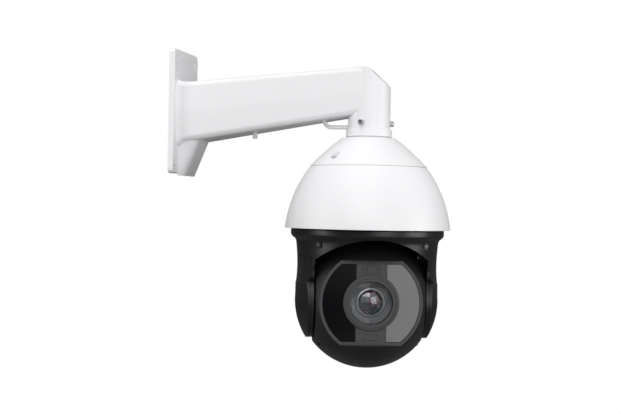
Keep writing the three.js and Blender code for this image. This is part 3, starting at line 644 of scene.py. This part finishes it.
# %% Side covers
def side_cover(side, word):
    near = ARM_SPLIT + 0.3
    low, high = sorted((side * near, side * 125))
    shell = keep(yoke_body(f"arm_cover_{word}", 0),
                 block("room", (low, -90, -170), (high, 90, -36.3), TURN))
    inner = keep(yoke_body("inner", 2.4), block("room", (-120, -90, -170), (120, 90, -38.7), TURN))
    cut(shell, inner)
    for y, z in ((0, -56), (-36, -99.6), (36, -99.6), (0, -139)):
        spot = (TURN @ Matrix.Translation((0, y * MM, z * MM))
                @ Matrix.Rotation(side * math.pi / 2, 4, "Y"))
        cut(shell, rod("well", 3.4, 98 if z > -120 else 91.5, 120, spot, 32))
    return finish(shell, BLACK, "turn", [f"side_cover_{word}"], bevel=1.1, sharp=36)


side_cover(-1, "left")
side_cover(1, "right")

# %% Turntable
deck = turned("turntable_deck", [(12, 3), (107, 3), (108, 4), (108, 6), (107, 7), (24, 7), (20, 11),
                                 (20, 61), (12, 61)], TURN, 128)
finish(deck, BLACK, "turn", ["turntable"], bevel=0.3)

# %% [markdown]
# The ball is two half shells with flat cheeks. Its front is cut back to a flat seat with straight
# top and bottom edges, where the grey frame sits.

# %% Ball shells
FRONT_Y = 66.0
FRONT_R = 73.2
TRIM = 59.5


def front_patch(name, radius, trim, near, far, place=BALL):
    """A disc with flat top and bottom, between two distances in front of the tilt axis."""
    a = math.degrees(math.asin(trim / radius))
    outline = arc((0, 0), radius, -a, a, 40) + arc((0, 0), radius, 180 - a, 180 + a, 40)
    return prism(name, outline, far - near, place @ FORWARD @ Matrix.Translation((0, 0, near * MM)))


def ball_shell(name, word):
    outer = sphere(name, BALL_R, BALL, 160)
    keep(outer, block("cheeks", (-77, -120, -120), (77, 120, 120), BALL))
    cut(outer, front_patch("seat", FRONT_R, TRIM, FRONT_Y - 4, 120))
    inner = sphere("inner", BALL_R - 2.6, BALL, 96)
    keep(inner, block("cheeks", (-74.4, -120, -120), (74.4, 120, 120), BALL))
    cut(inner, front_patch("seat", FRONT_R + 2.6, TRIM + 2.6, FRONT_Y - 6.6, 120))
    cut(outer, inner, rod("axle", 10.3, -100, 100, BALL @ ALONG_X, 64),
        rod("eye", 31, 0, 90, BALL @ FORWARD, 96))
    if word == "front":
        keep(outer, block("half", (-120, -120, -120), (120, -0.15, 120), BALL))
        for side in (-1, 1):
            cut(outer, block("light", (side * 42 - 14, -80, -40), (side * 42 + 14, -50, 40), BALL))
            for up in (-1, 1):
                spot = BALL @ Matrix.Translation((side * 71.5 * MM, 0, up * 62 * MM)) @ FORWARD
                cut(outer, rod("well", 2.9, 22, 60, spot, 32))
                cap_screw(f"ball_screw_{side + 1}{up + 1}", 2.3, 1.6, 1.0, 1.4,
                          spot @ Matrix.Translation((0, 0, 22.2 * MM)), "head", None, DARK_STEEL)
    else:
        keep(outer, block("half", (-120, 0.15, -120), (120, 120, 120), BALL))
    return finish(outer, BLACK, "head", [f"head_{word}_shell"], bevel=0.8, sharp=33)


ball_shell("ball_front", "front")
ball_shell("ball_rear", "rear")

# %% [markdown]
# The front frame is one moulding: a rim, an upright web and a raised ring around the lens. The two
# openings are the disc's outline less the web and the ring.

# %% Front frame
BOSS_R = 39.2
WEB = 21.2


def opening(name, side, inset, near, far):
    patch = front_patch(name, FRONT_R - 4.7 - inset, TRIM - 5 - inset, near, far)
    low, high = sorted((side * (WEB + inset), side * 100))
    keep(patch, block("half", (low, -120, -100), (high, 0, 100), BALL))
    cut(patch, rod("boss", BOSS_R + inset, 0, 120, BALL @ FORWARD, 128))
    bm = bmesh.new()
    bm.from_mesh(patch.data)
    bmesh.ops.remove_doubles(bm, verts=bm.verts, dist=2e-6)
    bmesh.ops.dissolve_limit(bm, angle_limit=math.radians(0.4), verts=bm.verts, edges=bm.edges)
    ahead = (BALL.to_3x3() @ Vector((0, -1, 0))).normalized()
    corners = [e for e in bm.edges if abs((e.verts[0].co - e.verts[1].co).normalized().dot(ahead)) > 0.99
               and len(e.link_faces) == 2 and e.calc_face_angle(0) > math.radians(25)]
    bmesh.ops.bevel(bm, geom=corners, offset=(4.6 - inset) * MM, affect="EDGES", segments=5, profile=0.5,
                    material=-1, clamp_overlap=True)
    bm.to_mesh(patch.data)
    bm.free()
    return patch


PILL_UP = 46.8
BADGE_DOWN = 48


def front_frame():
    plate = front_patch("front_bezel", FRONT_R - 0.3, TRIM - 0.3, FRONT_Y - 3.7, FRONT_Y)
    steps = [(0, -3.7), (39.2, -3.7), (39.2, 1.4), (38.4, 2.2), (36.2, 2.6), (35.6, 2.6),
             (35.6, 1.6), (34.4, 1.6), (34.4, 2.6), (0, 2.6)]
    boss = turned("boss", [(r, FRONT_Y + rise) for r, rise in steps], BALL @ FORWARD, 144)
    join(plate, boss)
    cut(plate, rod("glass_hole", 30.3, 40, 90, BALL @ FORWARD, 128), opening("left", -1, 0, 50, 90),
        opening("right", 1, 0, 50, 90))
    face = BALL @ FORWARD
    pill = prism("pill", [(x, y + PILL_UP) for x, y in rounded(26, 11, 5.4, 10)], 10,
                 face @ Matrix.Translation((0, 0, (FRONT_Y - 1.6) * MM)))
    badge = prism("badge", [(x, y - BADGE_DOWN) for x, y in rounded(21, 9, 1.5)], 10,
                  face @ Matrix.Translation((0, 0, (FRONT_Y - 1.2) * MM)))
    cut(plate, pill, badge)
    return finish(plate, FRAME, "head", ["front_frame"], bevel=0.45, sharp=36)


front_frame()

# %% [markdown]
# Behind each opening is a sheet of black, near-opaque plastic that lets infrared through. It is
# glossy, so it takes the light of the room.

# %% Windows
for word, side in (("left", -1), ("right", 1)):
    pane = opening(f"infrared_pane_{word}", side, 0.3, FRONT_Y - 3.2, FRONT_Y - 1.3)
    finish(pane, WINDOW, "head", [f"ir_window_{word}"], bevel=0.3)

# %% Sensor and badge
face = BALL @ FORWARD
insert = prism("sensor_pill", [(x, y + PILL_UP) for x, y in rounded(25.4, 10.4, 5.1, 10)], 1.1,
               face @ Matrix.Translation((0, 0, (FRONT_Y - 1.3) * MM)))
for x in (-7.8, 7.8):
    cut(insert, rod("sensor_hole", 2.0, FRONT_Y - 4, FRONT_Y + 4,
                    face @ Matrix.Translation((x * MM, PILL_UP * MM, 0)), 32))
finish(insert, FRAME, "head", ["sensor_insert"], bevel=0.2)
badge = prism("badge_blank", [(x, y - BADGE_DOWN) for x, y in rounded(20.4, 8.4, 1.3)], 0.8,
              face @ Matrix.Translation((0, 0, (FRONT_Y - 0.9) * MM)))
finish(badge, FRAME, "head", ["badge_plate"], bevel=0.2)

# %% [markdown]
# The lens sits behind a clear round window. A grey barrel funnels down to a bright ring, and the
# front lens bulges in the middle of it.

# %% Lens
window = turned("lens_window_glass", [(0, 64.5), (29.6, 64.5), (30, 64.9), (30, 66.6), (29.4, 67),
                                      (0, 67)], face, 128)
finish(window, GLASS, "head", ["lens_window"], bevel=0)
barrel = turned("lens_barrel_tube", [(17.2, 18.4), (24, 18.4), (24, 50), (26.5, 53), (29.2, 61.5),
                                     (28.4, 61.8), (20.4, 56.6), (19.4, 57.4), (17.4, 54.6),
                                     (17.2, 52)], face, 128)
finish(barrel, BARREL, "head", ["lens_barrel"], bevel=0)
ring = turned("lens_ring", [(17.3, 55.0), (19.6, 57.6), (19.4, 59.0), (18.6, 59.4), (17.3, 58.0)],
              face, 128)
finish(ring, RING, "head", bevel=0)
eye = turned("front_lens_glass", [(0, 48), (16.8, 48), (16.8, 52),
                                  *bend((16.4, 52.4), (9, 56.6), (0, 57), 14)], face, 96)
finish(eye, COATING_REFLECTION_GLASS, "head", ["front_lens"], bevel=0)

# %% [markdown]
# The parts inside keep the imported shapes. Each takes a material for its own finish.

# %% Inner parts
FINISHES = {"white_paint": WHITE, "black_plastic": BLACK, "frame_grey": FRAME, "window_black": WINDOW,
            "lens_glass": COATING_REFLECTION_GLASS, "steel": INNER, "circuit_board": BOARD, "rubber": RUBBER}
for entry in frame["record"]["subparts"]:
    mesh = frame["nodes"][entry["node"]].data
    mesh.materials.clear()
    mesh.materials.append(FINISHES[entry["material_slot"]])
print(len(frame["nodes"]), "packed nodes painted")

# %% [markdown]
# The light is soft: a dim room, a large panel above, a broad one in front, and smaller ones at the
# left and right. One panel stands where the right window throws it back as a pale sheet. The floor
# is grey, and only the camera sees it as white.

# %% Room
world = bpy.data.worlds.new("room")
world.use_nodes = True
bpy.context.scene.world = world
nodes, links = world.node_tree.nodes, world.node_tree.links
background = nodes["Background"]
path = nodes.new("ShaderNodeLightPath")
seen = nodes.new("ShaderNodeMath")
seen.operation = "MAXIMUM"
links.new(path.outputs["Is Camera Ray"], seen.inputs[0])
links.new(path.outputs["Is Transmission Ray"], seen.inputs[1])
level = nodes.new("ShaderNodeMapRange")
level.inputs["To Min"].default_value = 0.12
level.inputs["To Max"].default_value = 1.0
links.new(seen.outputs["Value"], level.inputs["Value"])
links.new(level.outputs["Result"], background.inputs["Strength"])
background.inputs["Color"].default_value = (1, 1, 1, 1)
bpy.context.scene.view_settings.view_transform = "Standard"


def panel(name, place, aim, width, height, power):
    lamp = bpy.data.lights.new(name, "AREA")
    lamp.shape = "RECTANGLE"
    lamp.size = width
    lamp.size_y = height
    lamp.energy = power
    holder = bpy.data.objects.new(name, lamp)
    holder.location = place
    holder.rotation_euler = (Vector(aim) - Vector(place)).to_track_quat("-Z", "Y").to_euler()
    bpy.context.scene.collection.objects.link(holder)
    return holder


BALL_AT = Vector((PAN_X, 0, TILT_Z))


def around(angle, distance, up):
    """A place seen from the ball at an angle right of the camera's side, in degrees."""
    turn = AZIMUTH + math.radians(angle)
    return BALL_AT + Vector((math.sin(turn) * distance, -math.cos(turn) * distance, up))


panel("top_panel", (0.1, -0.5, 1.7), (0.2, 0, -0.1), 1.8, 1.8, 20)
panel("front_panel", around(-14, 2.9, 1.7), BALL_AT, 2.4, 1.2, 37)
panel("left_panel", around(-72, 1.8, 0.3), BALL_AT, 0.6, 1.6, 10)
panel("right_panel", around(23.5, 2.5, 0.1), BALL_AT, 1.15, 1.5, 16)
panel("side_panel", around(72, 2.2, 0.2), BALL_AT, 1.2, 1.4, 22)

# %% Floor
bm = bmesh.new()
bmesh.ops.create_grid(bm, x_segments=8, y_segments=8, size=6, matrix=Matrix.Translation((0, 0, -0.75)))
floor = new_piece("floor", bm)
pale = bpy.data.materials.new("pale floor")
pale.use_nodes = True
nodes, links = pale.node_tree.nodes, pale.node_tree.links
nodes["Principled BSDF"].inputs["Base Color"].default_value = (0.22, 0.22, 0.22, 1)
nodes["Principled BSDF"].inputs["Roughness"].default_value = 0.9
glow = nodes.new("ShaderNodeEmission")
mix = nodes.new("ShaderNodeMixShader")
path = nodes.new("ShaderNodeLightPath")
links.new(path.outputs["Is Camera Ray"], mix.inputs["Fac"])
links.new(nodes["Principled BSDF"].outputs["BSDF"], mix.inputs[1])
links.new(glow.outputs["Emission"], mix.inputs[2])
links.new(mix.outputs["Shader"], nodes["Material Output"].inputs["Surface"])
floor.data.materials.append(pale)
